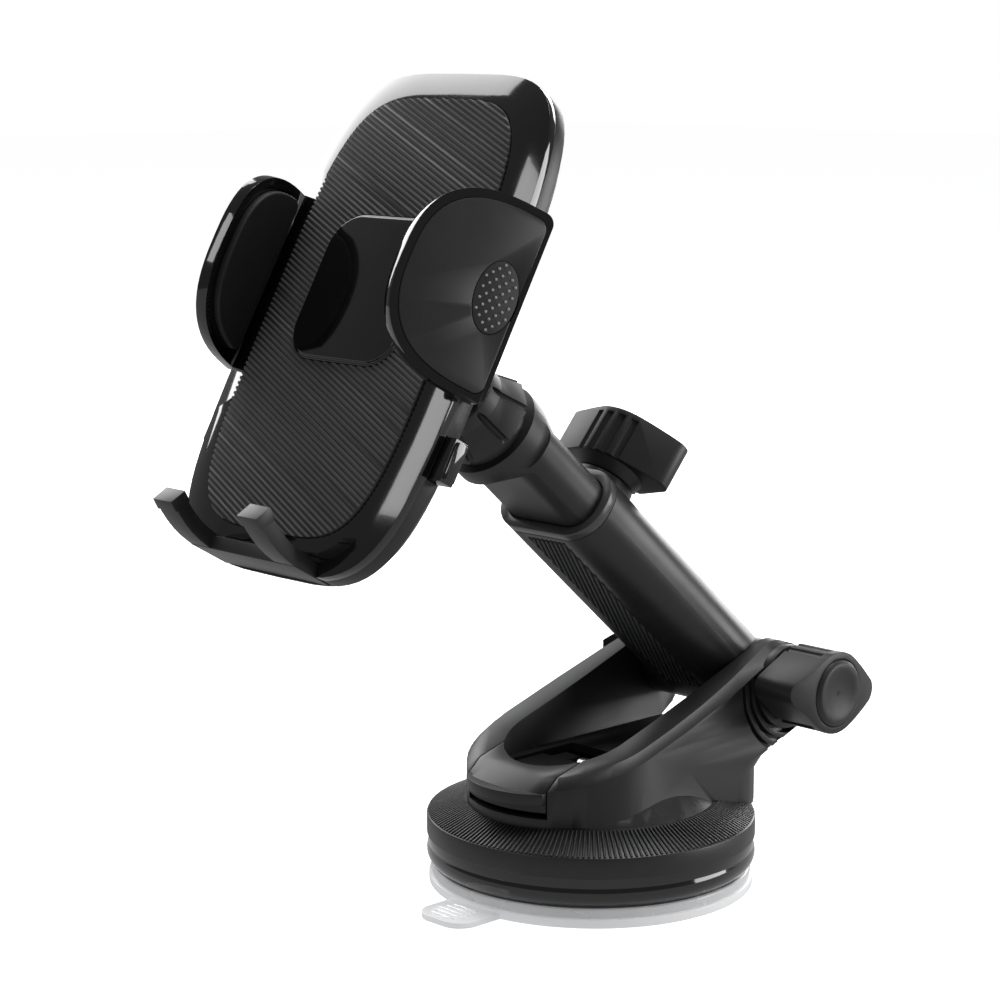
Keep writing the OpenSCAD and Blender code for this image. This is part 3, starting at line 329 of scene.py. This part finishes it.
slope_out, slope_in = 0.0374, 0.0288
ring_low, ring_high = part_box("ribbed_ring")
slope_top, slope_low = ring_high.z, ring_high.z - 0.0037
rise = math.atan2(slope_top - slope_low, slope_out - slope_in)
bpy.ops.object.select_all(action="DESELECT")
bpy.ops.mesh.primitive_cylinder_add(
    vertices=6, radius=0.00034,
    depth=math.hypot(slope_out - slope_in, slope_top - slope_low) - 0.0006,
    location=((slope_out + slope_in) / 2, 0, (slope_top + slope_low) / 2 + 0.00003),
    rotation=(0, -math.pi / 2 + rise, 0))
ring_ribs = bpy.context.object
settle(ring_ribs)
bpy.ops.object.mode_set(mode="EDIT")
bpy.ops.mesh.select_all(action="SELECT")
bpy.ops.mesh.spin(steps=199, dupli=True, angle=math.tau * 199 / 200, center=(0, 0, 0),
                  axis=(0, 0, 1), use_auto_merge=False)
bpy.ops.object.mode_set(mode="OBJECT")
bpy.ops.object.shade_smooth_by_angle(angle=math.radians(65))
hand_over(ring_ribs, "ring_ribs", "base", "satin_black", satin_black)

# ---------------------------------------------------------------- base shell and lever
# One satin moulding makes the skirt, the rim and the two ears that hold the arm. The front of
# its rim is the end of the suction lever, with a thin lip for the finger.
rounded("base_shell", "base", "satin_black", satin_black, 0.0003, turn=34)
rounded("suction_lever", "lever", "satin_black", satin_black, 0.0003, turn=34)
rounded("pivot_cap", "base", "gloss_black", gloss_black, 0.0004, steps=3)

# ---------------------------------------------------------------- knobs
# Each knob is a winged moulding with flutes on its flats and a round cap with a dished face.
# The pivot knob clamps the ears, and the lock knob presses a shoe on the inner arm.
for knob in ("base_knob", "lock_knob"):
    rounded(knob, knob, "satin_black", fine_satin, 0.00035, turn=30, steps=3)
    rounded(knob + "_cap", knob, "satin_black", fine_satin, 0.00035, turn=25, steps=3)

# ---------------------------------------------------------------- arm
# A square-shouldered tube with a round barrel at its foot. A strip of slanting ribs is let into
# its underside, a collar closes its end, and the inner arm slides in it.
rounded("outer_arm", "arm", "satin_black", satin_black, 0.0004, turn=34)
# The collar's grey finish is a painted highlight on a black part.
rounded("arm_collar", "arm", "collar_grey", collar_grey, 0.0003)
rounded("inner_arm", "inner_arm", "satin_black", fine_satin, 0.00035, turn=30)
rounded("ring_nut", "ring_nut", "satin_black", fine_satin, 0.0004, turn=30, steps=3)
rounded("ball_stem", "ball", "inner_grey", satin_black, 0.0003, turn=30)

strip_wide, strip_from, strip_to = 0.0114, 0.006, 0.0676
arm_half = 0.0087
slant = math.radians(21.5)
bpy.ops.object.select_all(action="DESELECT")
bpy.ops.mesh.primitive_cylinder_add(
    vertices=8, radius=0.00036, depth=0.05, location=(0, 0, 0), rotation=(0, slant, 0))
strip_ribs = bpy.context.object
settle(strip_ribs)
rows = strip_ribs.modifiers.new("rows", "ARRAY")
rows.use_relative_offset = False
rows.use_constant_offset = True
rows.constant_offset_displace = (0, 0, 0.00125 / math.sin(slant))
rows.count = 34
bpy.ops.object.modifier_apply(modifier="rows")
strip_ribs.data.transform(Matrix.Translation((0, -arm_half + 0.0001, -0.028)))
bpy.ops.object.mode_set(mode="EDIT")
for cut_at, cut_way in (((strip_wide / 2 - 0.0002, 0, 0), (1, 0, 0)),
                        ((0.0002 - strip_wide / 2, 0, 0), (-1, 0, 0)),
                        ((0, 0, strip_to - 0.0002), (0, 0, 1)),
                        ((0, 0, strip_from + 0.0002), (0, 0, -1))):
    bpy.ops.mesh.select_all(action="SELECT")
    bpy.ops.mesh.bisect(plane_co=cut_at, plane_no=cut_way, use_fill=True, clear_outer=True)
bpy.ops.object.mode_set(mode="OBJECT")
bpy.ops.object.shade_smooth_by_angle(angle=math.radians(50))
settle(strip_ribs, arm_frame)
# The strip's ribs carry the painted highlight of their crests.
hand_over(strip_ribs, "strip_ribs", "arm", "satin_black", rib_painted_highlight)

# ---------------------------------------------------------------- cradle shell
# The rear cover carries the ball's socket. The front frame is a gloss bezel that slopes down to
# the soft grip pad, and a square gloss plate sits in the middle of the pad.
rounded("rear_cover", "cradle", "satin_black", satin_black, 0.0004, turn=34)
rounded("front_frame", "cradle", "gloss_black", gloss_black, 0.0004, turn=20, steps=3)
rounded("badge_plate", "cradle", "gloss_black", gloss_black, 0.0004, turn=34, steps=3)
rounded("grip_pad", "cradle", "soft_black", soft_black, 0.0002, turn=34)

run = Vector((0.9193, 0, -0.3935))
across = Vector((0.3935, 0, 0.9193))
bpy.ops.object.select_all(action="DESELECT")
bpy.ops.mesh.primitive_cylinder_add(vertices=8, radius=0.00034, depth=0.16)
pad_ribs = bpy.context.object
pad_ribs.rotation_euler = (0, math.atan2(run.x, run.z), 0)
settle(pad_ribs)
rows = pad_ribs.modifiers.new("rows", "ARRAY")
rows.use_relative_offset = False
rows.use_constant_offset = True
rows.constant_offset_displace = across * 0.00105
rows.count = 120
bpy.ops.object.modifier_apply(modifier="rows")
pad_ribs.data.transform(Matrix.Translation(across * -0.0625 + Vector((0, -0.00002, 0))))
settle(pad_ribs, cradle_frame)

bpy.ops.object.select_all(action="DESELECT")
pad_source = frame["nodes"]["grip_pad"]
pad_source.hide_viewport = False
pad_source.select_set(True)
bpy.context.view_layer.objects.active = pad_source
bpy.ops.object.duplicate()
pad_outline = bpy.context.object
pad_source.hide_viewport = True
for key in list(pad_outline.keys()):
    del pad_outline[key]
pad_outline.parent = None
pad_outline.data.transform(Matrix.Translation(cradle_back * -0.0006))
bpy.ops.object.mode_set(mode="EDIT")
bpy.ops.mesh.select_all(action="SELECT")
bpy.ops.mesh.remove_doubles(threshold=0.00002)
bpy.ops.object.mode_set(mode="OBJECT")
bpy.ops.object.select_all(action="DESELECT")
pad_ribs.select_set(True)
bpy.context.view_layer.objects.active = pad_ribs
trim = pad_ribs.modifiers.new("trim", "BOOLEAN")
trim.operation = "INTERSECT"
trim.object = pad_outline
trim.solver = "EXACT"
bpy.ops.object.modifier_apply(modifier="trim")
bpy.data.objects.remove(pad_outline)
bpy.ops.object.shade_smooth_by_angle(angle=math.radians(50))
# The pad's ribs carry the painted highlight of their crests.
hand_over(pad_ribs, "pad_ribs", "cradle", "soft_black", rib_painted_highlight)

# ---------------------------------------------------------------- clamps
# Each clamp is a gloss wing on a rack bar, with a satin panel let into its outside, an oval
# finger grip with small light studs, and a soft pad inside that bears on the phone.
stud_light = moulded("stud_light", (0.3, 0.3, 0.3), (0.42, 0.42, 0.42), 0.35, 0.1)
for side, way in (("right", 1), ("left", -1)):
    rounded("clamp_arm_" + side, "clamp_" + side, "gloss_black", gloss_black, 0.0005, steps=3)
    rounded("clamp_cover_" + side, "clamp_" + side, "satin_black", fine_satin, 0.00025)
    rounded("clamp_grip_" + side, "clamp_" + side, "soft_black", soft_black, 0.00015)
    rounded("clamp_pad_" + side, "clamp_" + side, "soft_black", soft_black, 0.0005, steps=3)
    bpy.ops.object.select_all(action="DESELECT")
    first = True
    for row in range(-6, 7):
        for column in range(-2, 3):
            over = 0.0022 * column + (0.0011 if row % 2 else 0)
            up = 0.00112 * row
            if (over / 0.0041) ** 2 + (up / 0.0068) ** 2 > 1:
                continue
            if not first:
                bpy.ops.object.mode_set(mode="EDIT")
            bpy.ops.mesh.primitive_uv_sphere_add(segments=10, ring_count=6, radius=0.0003,
                                                 location=(0, over, up))
            first = False
            bpy.ops.object.mode_set(mode="OBJECT")
    studs = bpy.context.object
    settle(studs)
    wing = (Matrix.Translation((0.0336, 0, 0.0058)) @ Matrix.Rotation(math.radians(-21), 4, "Z")
            @ Matrix.Translation((0.0029, 0.0016, 0.0003))
            @ Matrix.Rotation(math.radians(4), 4, "X"))
    studs.data.transform(Matrix.Diagonal((way, 1, 1, 1)) @ wing)
    bpy.ops.object.mode_set(mode="EDIT")
    bpy.ops.mesh.select_all(action="SELECT")
    bpy.ops.mesh.normals_make_consistent(inside=False)
    bpy.ops.object.mode_set(mode="OBJECT")
    bpy.ops.object.shade_smooth()
    settle(studs, cradle_frame)
    hand_over(studs, "grip_studs_" + side, "clamp_" + side, "soft_black", stud_light)
    rounded("release_button_" + side, "button_" + side, "gloss_black", gloss_black, 0.0003)

# ---------------------------------------------------------------- foot
# The foot slides in the bottom of the cradle, and its two curled prongs carry the phone.
rounded("foot", "foot", "satin_black", satin_black, 0.0005, turn=30, steps=3)

# ---------------------------------------------------------------- inner works
# What holds and moves the mount out of sight: screws, pins, springs and stud in plated steel,
# inserts in brass, the pinion and latch pawls in white nylon, and grey inner mouldings.
for finish, nodes in (
        (zinc_steel, ("base_screws", "pivot_bolt", "suction_stud", "lever_pin", "pivot_washer",
                      "lock_screw", "ball_screw", "housing_screws", "pinion_pin",
                      "opening_spring", "foot_detent")),
        (turned_brass, ("base_knob_insert", "lock_insert")),
        (nylon_white, ("pinion", "latch_pawl_right", "latch_pawl_left")),
        (hidden_grey, ("base_plate", "friction_washers", "arm_end_plug")),
        (soft_black, ("texture_strip", "lock_shoe", "ball_seat"))):
    for node in nodes:
        frame["nodes"][node].data.materials.clear()
        frame["nodes"][node].data.materials.append(finish)
